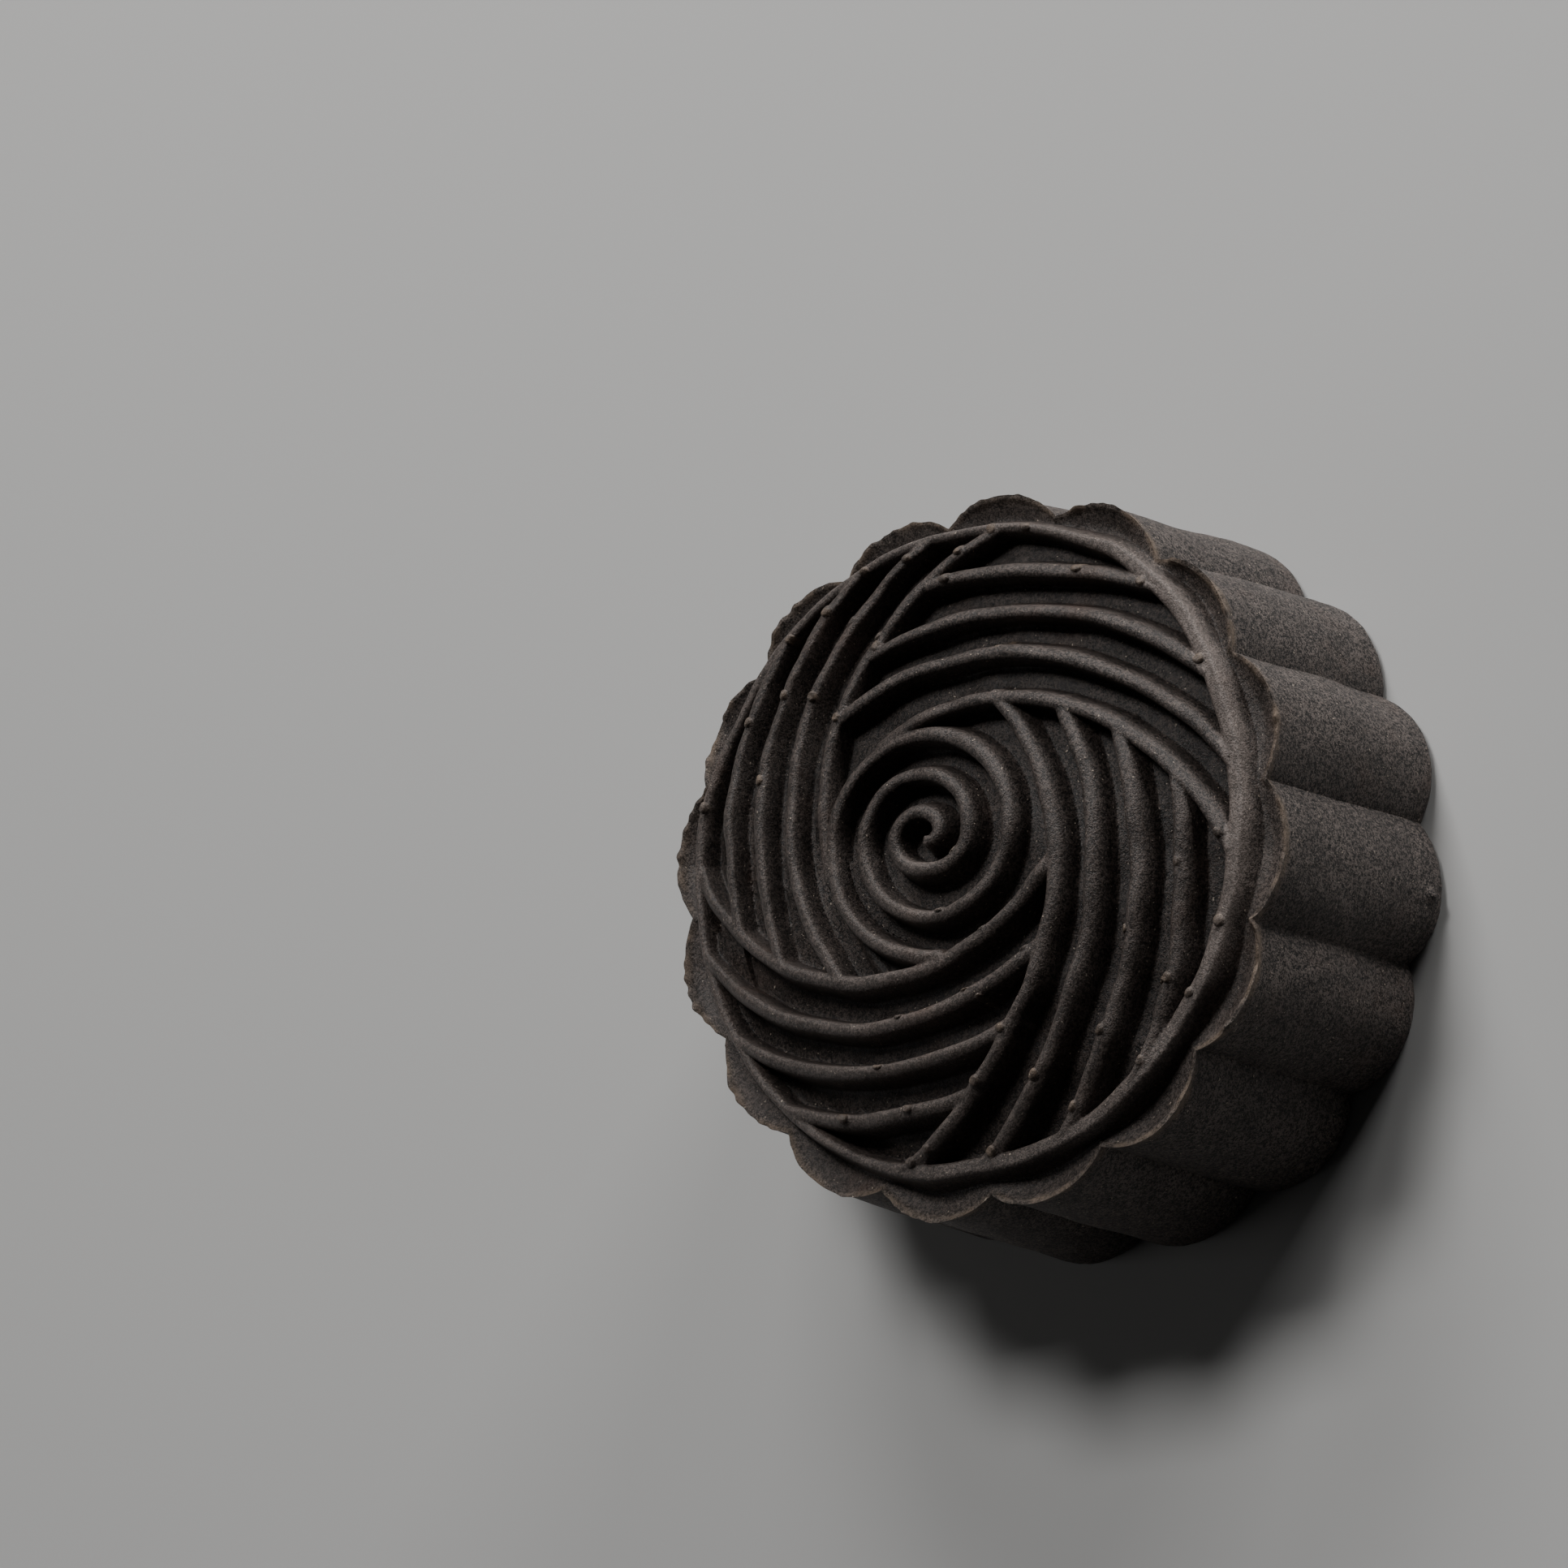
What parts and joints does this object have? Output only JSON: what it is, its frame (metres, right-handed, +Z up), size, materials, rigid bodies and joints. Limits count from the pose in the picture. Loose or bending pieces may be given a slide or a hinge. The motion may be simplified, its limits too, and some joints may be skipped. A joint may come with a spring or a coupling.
{
  "type": "mooncake",
  "caption": "Baked mooncake with a dark moulded crust: a low drum with a lobed side and a domed top that carries a whirl of curved ridges.",
  "frame": {"origin": "middle of the flat base, on the surface it rests on", "axes": "+Z up through the middle of the whirl, +X through the crest of one side lobe"},
  "size_m": [0.065, 0.065, 0.0281],
  "materials": {
    "crust": "dark baked pastry crust, nearly black with a warm brown tint, fine grained with a soft oily sheen"
  },
  "bodies": {
    "root": {"mooncake": "crust"}
  },
  "joints": []
}
